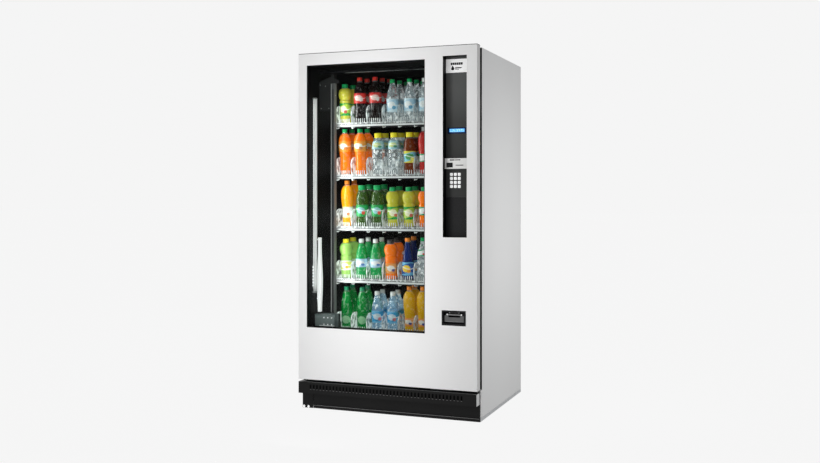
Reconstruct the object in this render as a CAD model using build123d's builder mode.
"""Glass-front drinks vending machine with a product lift, built as separate pieces.

Millimetres, +Z up. The origin is on the floor, in the middle of the footprint, and the door faces -Y.
Most depths are given as the distance behind the door's front face, which block() and front_plane() turn
into Y.
"""

from build123d import *
from math import cos, radians, sin, tan
import os

# Driving dimensions
width = 960
depth = 840
height = 1830
sheet = 1.5

# Depths behind the door's front face
shell_back = 46
liner_back = 70
gasket_back = 77.5
cabinet_front = 78
lift_front = 84
tray_front = 192
tray_back = 735
duct_front = 745
rear_liner = 798

# Heights above the floor
skirt_top = 17
grille_bottom = 85
grille_top = 144
door_bottom = 158
bay_top = 303
cabin_floor = 347
cabin_top = 1783
roof = 1822

# Widths, as X
half = width / 2
skin = half - sheet
cabin_left = -440
cabin_right = 222
partition_right = 252

# Door features
glass_left, glass_right, glass_bottom, glass_top = -433, 212, 425, 1768
recess_left, recess_right, recess_bottom, recess_top = 305, 427, 897, 1779
fascia_front = 50
fascia_back = 53
hatch_top = 1095
hatch_travel = 190
hinge_x, hinge_depth, knuckle = -470, 70, 7
hinge_heights = (330, 990, 1650)
cup_x, cup_z = (299, 423), (469, 543)
lock_depth, lock_z, lock_reach = 25, 1340, 68

# Keypad
key_size = 16
key_columns = (334, 354, 374)
key_rows = (1204, 1184.3, 1164.6, 1144.9)
key_names = ("1", "2", "3", "4", "5", "6", "7", "8", "9", "star", "0", "hash")

# Trays and stock
tray_bases = (1460, 1187, 914, 640, 367)
apron = 23
lanes = 6
lane_pitch = 88
first_lane = -312
tray_slope = 3
stock_depths = (232, 316)
tray_left = first_lane - lane_pitch / 2
tray_right = tray_left + lanes * lane_pitch
# Each kind of bottle: radius, total height, top of the straight wall, neck radius
bottle_kinds = {
    "cola": (33, 237, 140, 14),
    "slim": (32, 222, 130, 14),
    "bulb": (34, 205, 120, 14),
    "wide": (33, 214, 150, 20),
    "cone": (33, 218, 60, 14),
}
stock = (
    ("bulb", "cola", "cola", "slim", "slim", "slim"),
    ("slim", "slim", "wide", "wide", "wide", "slim"),
    ("slim", "wide", "wide", "bulb", "bulb", "slim"),
    ("bulb", "slim", "slim", "bulb", "cone", "slim"),
    ("cone", "cone", "slim", "slim", "slim", "slim"),
)


def behind(distance):
    """Y of a point the given distance behind the door's front face."""
    return distance - depth / 2


def front_plane(distance):
    """Plane seen from the front, its sketch X along +X and its sketch Y along +Z."""
    return Plane.XZ.offset(-behind(distance))


def block(x0, x1, d0, d1, z0, z1, mode=Mode.ADD):
    """Box between two X, two depths and two heights, in the part being built."""
    with Locations(((x0 + x1) / 2, behind((d0 + d1) / 2), (z0 + z1) / 2)):
        Box(x1 - x0, d1 - d0, z1 - z0, mode=mode)


def save(part, name):
    part.label = name
    export_step(part, f"parts/{name}.step")


os.makedirs("parts", exist_ok=True)

# ---- Cabinet -----------------------------------------------------------------------------------

flange = 20
cheek_front, cheek_top = 56, 153
for side, name in ((-1, "side_panel_left"), (1, "side_panel_right")):
    outer, inner = sorted((side * half, side * skin)), sorted((side * skin, side * (skin - flange)))
    with BuildPart() as side_panel:
        block(*outer, cabinet_front, depth, skirt_top + 1, roof)
        block(*inner, cabinet_front, cabinet_front + sheet, skirt_top + 1, roof)
        # Plinth cheek, which comes forward below the door
        block(*outer, cheek_front, cabinet_front, skirt_top + 1, cheek_top)
        if side > 0:
            # The lock's hook enters the flange through this notch and turns behind what is left below it.
            block(skin - flange - 1, skin - 6, cabinet_front, cabinet_front + sheet, lock_z + 7,
                  lock_z + lock_reach + 10, mode=Mode.SUBTRACT)
    save(side_panel.part, name)

with BuildPart() as roof_panel:
    block(-skin + 0.2, skin - 0.2, cabinet_front + 2, depth - sheet - 0.2, roof - sheet, roof)
    block(-skin + flange + 0.2, skin - flange - 0.2, cabinet_front, cabinet_front + 2, 1800, roof)
save(roof_panel.part, "roof_panel")

inlet_x, inlet_z = 380, 140
with BuildPart() as rear_panel:
    block(-skin + 0.2, skin - 0.2, depth - sheet, depth, skirt_top + 1, roof)
    block(inlet_x - 21, inlet_x + 21, depth - sheet, depth, inlet_z - 16, inlet_z + 16, mode=Mode.SUBTRACT)
    with BuildSketch(front_plane(depth)):
        with Locations((-60, 185)):
            with GridLocations(62, 17, 10, 10):
                SlotOverall(50, 7)
    extrude(amount=sheet, mode=Mode.SUBTRACT)
save(rear_panel.part, "rear_panel")

rail = 40
seam = 0.2
with BuildPart() as base_frame:
    for side in (-1, 1):
        block(*sorted((side * (skin - 0.5), side * (skin - rail))), 80, depth - 2, 22, 62)
        block(*sorted((side * half, side * skin)), cheek_front, depth, 1, skirt_top)
    for start in (80, depth - 2 - rail):
        block(-skin + rail + seam, skin - rail - seam, start, start + rail, 22, 62)
    # Deck that carries the compressor
    block(-skin + 0.5, skin - 0.5, 80, depth - 2, 62 + seam, 64)
save(base_frame.part, "base_frame")

kick_front = 50
leg_cover_right = -421
kick_end = skin - 0.5
with BuildPart() as kick_plate:
    block(leg_cover_right + 2, kick_end, kick_front, kick_front + 2, 1, grille_bottom)
    # Folded lip near the floor, and the return at the right-hand end
    block(leg_cover_right + 2, kick_end, kick_front - 5, kick_front, 15, 18)
    block(kick_end - 2, kick_end, kick_front + 2, cabinet_front - 0.2, 1, grille_bottom)
    # Cover over the left-hand leg
    block(-half, leg_cover_right, kick_front - 3, kick_front + 2, 1, grille_bottom)
    block(-kick_end, -kick_end + 2, kick_front + 2, cabinet_front - 0.2, 1, grille_bottom)
save(kick_plate.part, "kick_plate")

with BuildPart() as levelling_feet:
    with Locations(*[(x, behind(d), 0) for x in (-445, 445) for d in (105, 812)]):
        Cylinder(22, 8, align=(Align.CENTER, Align.CENTER, Align.MIN))
        with Locations((0, 0, 8)):
            Cylinder(6, 14, align=(Align.CENTER, Align.CENTER, Align.MIN))
save(levelling_feet.part, "levelling_feet")

with BuildPart() as insulation:
    block(-skin + 0.2, cabin_left - 2.4, 80.2, depth - 2, 305.2, roof - 2)
    block(cabin_left - 2, partition_right, 80.2, depth - 2, cabin_top + 2.2, roof - 2)
    block(cabin_left - 2, partition_right, 80.2, depth - 2, 305.2, cabin_floor - 2.2)
    block(cabin_left - 2, partition_right, rear_liner + 2.2, depth - 2, cabin_floor - 2, cabin_top + 2)
save(insulation.part, "insulation")

port_bottom, port_top, port_back = 888, 1112, 152
with BuildPart() as inner_liner:
    # Walls of the cabin, then the sheet under its floor
    block(cabin_left - 2, cabin_left, 80, rear_liner - seam, cabin_floor, cabin_top)
    block(cabin_left - 2, partition_right, 80, rear_liner + 2, cabin_top + seam, cabin_top + 2)
    block(cabin_left - 2, partition_right, 80, rear_liner + 2, cabin_floor - 2, cabin_floor - seam)
    block(cabin_left - 2, partition_right, rear_liner, rear_liner + 2, cabin_floor, cabin_top)
    block(-skin + 0.5, skin - 0.5, 80, depth - 2, bay_top, bay_top + 2)
    # Strips over the insulation's front edges, where the door gasket seals
    block(-skin + flange + 0.2, cabin_left, cabinet_front + 0.2, 80 - seam, bay_top, 1799.8)
    block(cabin_left + seam, partition_right, cabinet_front + 0.2, 80 - seam, cabin_top + seam, 1799.8)
    block(cabin_left + seam, partition_right, cabinet_front + 0.2, 80 - seam, bay_top, cabin_floor - seam)
    # Partition towards the service bay, in three panels around the delivery port
    block(cabin_right, partition_right, cabinet_front + 0.2, rear_liner - seam, cabin_floor, port_bottom - seam)
    block(cabin_right, partition_right, cabinet_front + 0.2, rear_liner - seam, port_top + seam, cabin_top)
    block(cabin_right, partition_right, port_back, rear_liner - seam, port_bottom, port_top)
save(inner_liner.part, "inner_liner")

with BuildPart() as air_duct_panel:
    block(cabin_left + 0.5, cabin_right - 0.5, duct_front, duct_front + 2, cabin_floor + 0.5, cabin_top - 0.5)
    with BuildSketch(front_plane(duct_front + 2)):
        for base in tray_bases:
            with Locations((first_lane + 2.5 * lane_pitch, base + 230)):
                with GridLocations(lane_pitch, 16, lanes, 2):
                    SlotOverall(56, 8)
    extrude(amount=2, mode=Mode.SUBTRACT)
save(air_duct_panel.part, "air_duct_panel")

# ---- Cooling unit ------------------------------------------------------------------------------

evaporator_hub = (-105, 1000)
condenser_hub = (-100, 185)


def fan(hub, start, radius, length):
    """Axial fan with pitched blades around a hub, turning about Y."""
    with BuildPart(front_plane(start + length / 2)) as wheel:
        with Locations(hub):
            Cylinder(radius * 0.28, length)
            with PolarLocations(radius * 0.6, 5):
                Box(radius * 0.74, radius * 0.42, 2.5, rotation=(32, 0, 0))
    return wheel.part


def shroud(hub, start, radius, plate):
    """Square plate with a round throat, in the part being built."""
    with BuildSketch(front_plane(start + 2)) as throat:
        with Locations(hub):
            Rectangle(plate, plate)
            Circle(radius + 4, mode=Mode.SUBTRACT)
    extrude(throat.sketch, amount=2)


with BuildPart() as evaporator:
    block(-310, 100, 756, 792, 420, 640)
    for x in (-316, 100.2):
        block(x, x + 5.8, 752, 794, 410, 650)
    shroud(evaporator_hub, 758, 66, 170)
save(evaporator.part, "evaporator")
save(fan(evaporator_hub, 764, 66, 22), "evaporator_fan")

with BuildPart() as condenser:
    block(-330, 130, 240, 286, 90, 280)
    for x in (-334, 130.2):
        block(x, x + 3.8, 236, 296, 64.2, 286)
    shroud(condenser_hub, 290, 84, 200)
save(condenser.part, "condenser")
save(fan(condenser_hub, 298, 84, 28), "condenser_fan")

with BuildPart() as compressor:
    # Hermetic shell with a domed top
    with Locations((230, behind(600), 78)):
        Cylinder(86, 176, align=(Align.CENTER, Align.CENTER, Align.MIN))
    fillet(compressor.edges().group_by(Axis.Z)[-1], 60)
    # Mounting plate and its rubber bushes
    block(120, 340, 510, 690, 72, 77.8)
    with Locations(*[(x, behind(d), 64.2) for x in (135, 325) for d in (525, 675)]):
        Cylinder(11, 7.6, align=(Align.CENTER, Align.CENTER, Align.MIN))
save(compressor.part, "compressor")

with BuildPart() as power_inlet:
    block(inlet_x - 20.5, inlet_x + 20.5, 796, depth, inlet_z - 15.5, inlet_z + 15.5)
    block(inlet_x - 13, inlet_x + 13, 820, depth, inlet_z - 9, inlet_z + 9, mode=Mode.SUBTRACT)
    for x, z in ((-7, -2), (0, 3), (7, -2)):
        block(inlet_x + x - 1, inlet_x + x + 1, 820, 836, inlet_z + z - 2.5, inlet_z + z + 2.5)
save(power_inlet.part, "power_inlet")

# ---- Trays and stock ---------------------------------------------------------------------------

slope = radians(tray_slope)


def floor_height(base, distance):
    """Height of a tray's sloping floor at the given depth."""
    return base + apron + tan(slope) * (distance - tray_front)


for number, base in enumerate(tray_bases, start=1):
    rear_height = floor_height(base, tray_back)
    with BuildPart() as shelf:
        # Sheet floor, which rises towards the rear so that bottles roll forwards
        with BuildSketch(Plane.YZ.offset(tray_left)):
            with BuildLine():
                Polyline(
                    (behind(tray_front), base + apron),
                    (behind(tray_back), rear_height),
                    (behind(tray_back), rear_height - 2),
                    (behind(tray_front), base + apron - 2),
                    close=True,
                )
            make_face()
        extrude(amount=tray_right - tray_left)
        # Front rail clipped on under the floor's edge
        block(tray_left, tray_right, tray_front, tray_front + 2, base, base + apron - 2.2)
        # Cross bars that hang the tray between the cabin's walls
        for distance in (300, 640):
            top = floor_height(base, distance) - 4
            block(cabin_left + 0.2, cabin_right - 0.2, distance, distance + 12, top - 12, top)
    save(shelf.part, f"shelf_{number}")

divider_tall = 92
with BuildPart() as lane_dividers:
    for base in tray_bases:
        for lane in range(lanes + 1):
            x = tray_left + lane * lane_pitch
            rear_height = floor_height(base, tray_back - 4)
            with BuildSketch(Plane.YZ.offset(x - 1)):
                with BuildLine():
                    Polyline(
                        (behind(tray_back - 4), rear_height + divider_tall),
                        (behind(tray_back - 4), rear_height + 0.2),
                        (behind(tray_front + 3), floor_height(base, tray_front + 3) + 0.2),
                        (behind(tray_front - 4), base + apron + 20),
                        (behind(tray_front - 4), base + apron + divider_tall - 34),
                    )
                    TangentArc(
                        (behind(tray_front - 4), base + apron + divider_tall - 34),
                        (behind(tray_front + 30), base + apron + divider_tall),
                        tangent=(0, 1),
                    )
                    Line(
                        (behind(tray_front + 30), base + apron + divider_tall),
                        (behind(tray_back - 4), rear_height + divider_tall),
                    )
                make_face()
            extrude(amount=2)
save(lane_dividers.part, "lane_dividers")

gate_tall = 17
with BuildPart() as lane_gates:
    for base in tray_bases:
        for lane in range(lanes):
            x = first_lane + lane * lane_pitch
            block(x - 32, x + 32, tray_front + 0.5, tray_front + 4, base + apron + 1, base + apron + gate_tall)
save(lane_gates.part, "lane_gates")


def bottle(kind):
    """Closed bottle with its cap, standing on the XY plane."""
    radius, tall, shoulder, neck = bottle_kinds[kind]
    with BuildPart(mode=Mode.PRIVATE) as made:
        with BuildSketch(Plane.XZ):
            with BuildLine():
                Polyline((0, tall), (neck, tall), (neck, tall - 22), (radius, shoulder), (radius, 4),
                         (radius - 4, 0), (0, 0), close=True)
            make_face()
        revolve(axis=Axis.Z)
    return made.part


bottles = {kind: bottle(kind) for kind in bottle_kinds}
standing = []
for base, row in zip(tray_bases, stock):
    for lane, kind in enumerate(row):
        for distance in stock_depths:
            place = Vector(first_lane + lane * lane_pitch, behind(distance), floor_height(base, distance) + 1)
            standing.append(Location(place, (tray_slope, 0, 0)) * bottles[kind])
with BuildPart() as stock_bottles:
    add(standing)
save(stock_bottles.part, "stock_bottles")

# ---- Product lift ------------------------------------------------------------------------------

column_left, column_right = -367, -347
column_front, column_back = 150, 176
rail_low, rail_high = (352, 372), (1742, 1758)
carriage_x, carriage_z = (-428, -316), (403, 484)

with BuildPart() as lift_rails:
    for low, high in (rail_low, rail_high):
        block(cabin_left + 0.3, cabin_right - 0.3, column_front + 2, column_back - 2, low, high)
save(lift_rails.part, "lift_rails")

with BuildPart() as lift_column:
    block(column_left, column_right, column_front, column_back, 376, 1738)
    groove = (column_left + 6, column_left + 14)
    block(*groove, column_front, column_front + 6, 390, 1685, mode=Mode.SUBTRACT)
    # Gabled head bracket, and the cover plate below its left-hand arm
    with BuildSketch(front_plane(column_front + 1.4)):
        with BuildLine():
            Polyline((-436, 1691), (-436, 1698), (-376, 1724), (-320, 1705), (-320, 1691), close=True)
        make_face()
    extrude(amount=1.4)
    block(-436, column_left, column_front + 1.4, column_front + 3, 1547, 1696)
save(lift_column.part, "lift_column")

with BuildPart() as lift_motor:
    block(column_right + 0.3, column_right + 27, 153, column_back, 380, 436)
    with Locations((column_right + 14, behind(167), 436)):
        Cylinder(12, 44, align=(Align.CENTER, Align.CENTER, Align.MIN))
save(lift_motor.part, "lift_motor")

trunking_x, trunking_d, trunking_top = (-438, -412), (122, 149), 882
with BuildPart() as cable_trunking:
    with BuildSketch(front_plane(trunking_d[1])):
        middle = sum(trunking_x) / 2
        round_end = (trunking_x[1] - trunking_x[0]) / 2
        with Locations((middle, (490 + trunking_top - round_end) / 2)):
            Rectangle(2 * round_end, trunking_top - round_end - 490)
        with Locations((middle, trunking_top - round_end)):
            Circle(round_end)
    extrude(amount=trunking_d[1] - trunking_d[0])
    for z in (560, 820):
        block(trunking_x[0] + 6, column_left - 0.3, trunking_d[1], column_front + 10, z, z + 16)
save(cable_trunking.part, "cable_trunking")

with BuildPart() as lift_carriage:
    left, right = carriage_x
    low, high = carriage_z
    block(left, right, lift_front, lift_front + 2, low, high)
    block(left, left + 2, lift_front + 2, 117, low, high)
    block(left + 2, right, lift_front + 2, 117, low, low + 6)
    block(-408, right, 117, 140, low, low + 6)
    block(-408, -406, 117, 140, low + 6, high)
    block(-408, -320, 140, 142, low, high)
    # Slider that runs on the column
    block(column_left + 3, column_right - 3, 142, column_front - 0.5, low + 10, high - 6)
    with BuildSketch(front_plane(lift_front + 2)):
        with Locations((-354, 449.5)):
            with GridLocations(22, 35, 3, 2):
                Circle(4)
    extrude(amount=2, mode=Mode.SUBTRACT)
save(lift_carriage.part, "lift_carriage")

# ---- Door --------------------------------------------------------------------------------------

skin_thick = 1.5
with BuildPart() as door_shell:
    block(-half, half, 0, shell_back, door_bottom, height)
    front_edges = door_shell.edges().filter_by(Axis.Z).group_by(Axis.Y)[0]
    fillet(front_edges, 2.5)
    block(-skin, skin, skin_thick, shell_back, door_bottom + skin_thick, height - skin_thick, mode=Mode.SUBTRACT)
    for x0, x1, z0, z1 in (
        (glass_left, glass_right, glass_bottom, glass_top),
        (recess_left, recess_right, recess_bottom, recess_top),
        (cup_x[0], cup_x[1], cup_z[0], cup_z[1]),
    ):
        block(x0, x1, 0, skin_thick, z0, z1, mode=Mode.SUBTRACT)
    # Hinge leaves welded inside the shell, each with its knuckle
    for z in hinge_heights:
        block(-skin, hinge_x + knuckle, shell_back - 10, shell_back, z - 15.5, z + 15.5)
        block(hinge_x - 3, hinge_x + knuckle, shell_back, hinge_depth, z - 15.5, z + 15.5)
        with Locations((hinge_x, behind(hinge_depth), z)):
            Cylinder(knuckle, 31)
            Hole(3.4, depth=40)
save(door_shell.part, "door_shell")

with BuildPart() as door_hinges:
    for z in hinge_heights:
        for end in (-30.5, 30.5):
            with Locations((hinge_x, behind(hinge_depth), z + end)):
                Cylinder(knuckle, 29)
            block(hinge_x - knuckle, hinge_x + knuckle, hinge_depth, cabinet_front, z + end - 14.5, z + end + 14.5)
        with Locations((hinge_x, behind(hinge_depth), z)):
            Cylinder(3, 90)
save(door_hinges.part, "door_hinges")

bay_x, bay_z = (253, 450), (690, 1800)
with BuildPart() as door_liner:
    block(-455, 470, shell_back, liner_back, 172, 1816)
    block(glass_left, glass_right, shell_back, liner_back, glass_bottom, glass_top, mode=Mode.SUBTRACT)
    block(*bay_x, shell_back, liner_back, *bay_z, mode=Mode.SUBTRACT)
    # Slot for the lock's arm
    block(bay_x[1], 469, shell_back, liner_back, lock_z - 12, lock_z + lock_reach + 8, mode=Mode.SUBTRACT)
save(door_liner.part, "door_liner")

with BuildPart() as door_gasket:
    with BuildSketch(front_plane(gasket_back)):
        seal_left, seal_right, seal_low, seal_high = -454, 248, 316, 1798
        middle = ((seal_left + seal_right) / 2, (seal_low + seal_high) / 2)
        with Locations(middle):
            RectangleRounded(seal_right - seal_left, seal_high - seal_low, 12)
            RectangleRounded(seal_right - seal_left - 22, seal_high - seal_low - 22, 3, mode=Mode.SUBTRACT)
    extrude(amount=gasket_back - liner_back)
save(door_gasket.part, "door_gasket")

pane_lap = 14
pane = (glass_left - pane_lap, glass_right + pane_lap, glass_bottom - pane_lap, glass_top + pane_lap)
with BuildPart() as door_glass:
    for start in (2, 18):
        block(pane[0], pane[1], start, start + 4, pane[2], pane[3])
save(door_glass.part, "door_glass")

with BuildPart() as glazing_spacer:
    block(pane[0], pane[1], 6, 18, pane[2], pane[3])
    block(glass_left + 5, glass_right - 5, 6, 18, glass_bottom + 5, glass_top - 5, mode=Mode.SUBTRACT)
    # Frame that holds the panes against the skin
    block(pane[0], pane[1], 22, shell_back, pane[2], pane[3])
    block(glass_left, glass_right, 22, shell_back, glass_bottom, glass_top, mode=Mode.SUBTRACT)
save(glazing_spacer.part, "glazing_spacer")

lamp_x, lamp_z = (-431, -409), (595, 1609)
with BuildPart() as cabin_lamp:
    middle_x = sum(lamp_x) / 2
    with Locations((middle_x, behind(70), sum(lamp_z) / 2)):
        Cylinder(10.5, lamp_z[1] - lamp_z[0] - 50)
    for start in (lamp_z[0], lamp_z[1] - 25):
        block(glass_left + 0.2, lamp_x[1], 58, 81, start, start + 25)
save(cabin_lamp.part, "cabin_lamp")

# ---- Control column ----------------------------------------------------------------------------

lip = 3
plate_z = (1231, 1282)
plate_front = 29
button_x, button_z = (315, 346), (1238, 1260)
display_x, display_z = (314, 417), (1402, 1434)

with BuildPart() as control_fascia:
    block(recess_left - lip, recess_right + lip, skin_thick + 0.2, fascia_back, recess_bottom - lip, recess_top + lip)
    block(recess_left, recess_right, skin_thick, fascia_front, recess_bottom, recess_top, mode=Mode.SUBTRACT)
    block(recess_left, recess_right, fascia_front, fascia_back, recess_bottom, hatch_top, mode=Mode.SUBTRACT)
    block(display_x[0] + 2, display_x[1] - 2, fascia_front, fascia_back, display_z[0] + 2, display_z[1] - 2,
          mode=Mode.SUBTRACT)
    block(308, 392, fascia_front, fascia_back, plate_z[0] + 6, plate_z[1] - 6, mode=Mode.SUBTRACT)
    for x in key_columns:
        for z in key_rows:
            reach = key_size / 2 + 0.5
            block(x - reach, x + reach, fascia_front, fascia_back, z - reach, z + reach, mode=Mode.SUBTRACT)
    with Locations(Location((recess_right + lip / 2, behind(lock_depth), lock_z), (0, 90, 0))):
        Cylinder(8.4, lip + 2, mode=Mode.SUBTRACT)
save(control_fascia.part, "control_fascia")

with BuildPart() as sign_plate:
    block(recess_left + 1, recess_right - 1, fascia_front - 3, fascia_front, 1702, 1768)
save(sign_plate.part, "sign_plate")

with BuildPart() as display:
    block(*display_x, fascia_front - 3, fascia_front, *display_z)
    block(display_x[0] + 3, display_x[1] - 3, fascia_front, 60, display_z[0] + 3, display_z[1] - 3)
save(display.part, "display")

with BuildPart() as payment_plate:
    # Shallow housing that stands off the fascia
    left, right = recess_left + 0.6, recess_right - 0.6
    block(left, right, plate_front, fascia_front, *plate_z)
    block(left + 2.5, right - 2.5, plate_front + 2.5, fascia_front, plate_z[0] + 2.5, plate_z[1] - 2.5,
          mode=Mode.SUBTRACT)
    gap = 0.6
    for x0, x1, z0, z1 in (
        (button_x[0] - gap, button_x[1] + gap, button_z[0] - gap, button_z[1] + gap),
        (331, 385, 1272, 1276),
        (366, 401, 1246.5, 1250),
    ):
        block(x0, x1, plate_front, plate_front + 2.5, z0, z1, mode=Mode.SUBTRACT)
save(payment_plate.part, "payment_plate")

with BuildPart() as coin_return_button:
    block(*button_x, plate_front - 3, 60, *button_z)
save(coin_return_button.part, "coin_return_button")

with BuildPart() as coin_mechanism:
    block(300, 425, 64, 150, 1130, 1252)
    block(312, 384, 64, 130, 1256, 1300)
    # Coin chute down to the cup
    block(434, 446, 30, 62, 1168, 1180)
    block(425.2, 446, 62, 70, 1168, 1180)
    block(434, 446, 30, 42, 546, 1168)
    block(404, 434, 30, 42, 546, 556)
save(coin_mechanism.part, "coin_mechanism")

key_flange = 9.2
for row, z in enumerate(key_rows):
    for column, x in enumerate(key_columns):
        name = key_names[row * len(key_columns) + column]
        with BuildPart() as key:
            reach = key_size / 2
            block(x - reach, x + reach, fascia_front - 3.5, fascia_back + 3, z - reach, z + reach)
            fillet(key.edges().filter_by(Axis.Y), 1.5)
            block(x - key_flange, x + key_flange, fascia_back + 0.6, fascia_back + 2, z - key_flange, z + key_flange)
        save(key.part, f"key_{name}")

with BuildPart() as lock:
    turned = Location((recess_right, behind(lock_depth), lock_z), (0, 90, 0))
    with Locations(turned):
        Cylinder(8, 22, align=(Align.CENTER, Align.CENTER, Align.MIN))
    arm = (449, 453)
    block(*arm, lock_depth - 6, lock_depth + 6, lock_z - 8, lock_z + lock_reach)
    block(arm[1], 468, lock_depth - 6, lock_depth + 6, lock_z + lock_reach - 10, lock_z + lock_reach)
save(lock.part, "lock")

with BuildPart() as delivery_hatch:
    block(303, 429, 54.5, 58.5, recess_bottom - 4, hatch_top + 6)
    block(330, 402, 54, 54.5, hatch_top - 14, hatch_top - 10)
save(delivery_hatch.part, "delivery_hatch")

bin_x, bin_z = (256, 432), (880, 1110)
with BuildPart() as delivery_bin:
    block(*bin_x, 62, 160, *bin_z)
    block(bin_x[0], bin_x[1] - 3, 62, 157, bin_z[0] + 3, bin_z[1] - 3, mode=Mode.SUBTRACT)
    # Front flange around the hatch opening, with the hatch's guides below and beside it
    block(296, 436, 59.5, 62, bin_z[0], bin_z[1])
    block(309, 423, 59.5, 62, recess_bottom, hatch_top, mode=Mode.SUBTRACT)
    for x0, x1, lip_x in ((296, 302, 306), (430, 436, 426)):
        block(x0, x1, fascia_back + 0.5, 62, 698, bin_z[1])
        block(min(x0, lip_x), max(x1, lip_x), 59.5, 62, 698, bin_z[0])
save(delivery_bin.part, "delivery_bin")

# ---- Coin cup ----------------------------------------------------------------------------------

flap_depth, flap_axis_z = 9, 522
flap_x = (312, 410)
with BuildPart() as coin_cup:
    block(cup_x[0] + 0.4, cup_x[1] - 0.4, 0, 4, cup_z[0] + 0.4, cup_z[1] - 0.4)
    block(cup_x[0] - 6, cup_x[1] + 6, skin_thick + 0.1, 4, cup_z[0] - 6, cup_z[1] + 6)
    block(303, 419, 4, 45, cup_z[0] + 4, cup_z[1] - 4)
    block(307, 415, 0, 42, cup_z[0] + 9, cup_z[1] - 8, mode=Mode.SUBTRACT)
    # Throat that the coins drop through, above the flap
    block(342, 384, 4, 8, 528, cup_z[1] - 8)
save(coin_cup.part, "coin_cup")

with BuildPart() as coin_flap:
    block(*flap_x, flap_depth - 1.5, flap_depth + 1.5, 486, 517)
    block(331, 391, flap_depth - 2, flap_depth + 2, 509, 517, mode=Mode.SUBTRACT)
    for x0, x1 in ((322, 328), (394, 400)):
        block(x0, x1, flap_depth - 1.5, flap_depth + 1.5, 516, flap_axis_z)
    with Locations(Location((361, behind(flap_depth), flap_axis_z), (0, 90, 0))):
        Cylinder(2.6, 86)
save(coin_flap.part, "coin_flap")

# ---- Plinth grille -----------------------------------------------------------------------------

slot_count, slot_pitch, slot_middle = 45, 18.45, -5.5
grille_back = 47
with BuildPart() as vent_grille:
    block(-half, half - 5, 0, grille_back, grille_bottom, grille_top)
    block(-half + 2, half - 7, 2, grille_back, grille_bottom + 2, grille_top - 2, mode=Mode.SUBTRACT)
    with BuildSketch(front_plane(2)):
        with Locations((slot_middle, 119)):
            with GridLocations(slot_pitch, 1, slot_count, 1):
                SlotOverall(28, 9, rotation=90)
    extrude(amount=2, mode=Mode.SUBTRACT)
    # Arms back to the cabinet's front flanges
    for x in (-468, 462):
        block(x, x + 3, grille_back, cabinet_front, 96, 140)
save(vent_grille.part, "vent_grille")
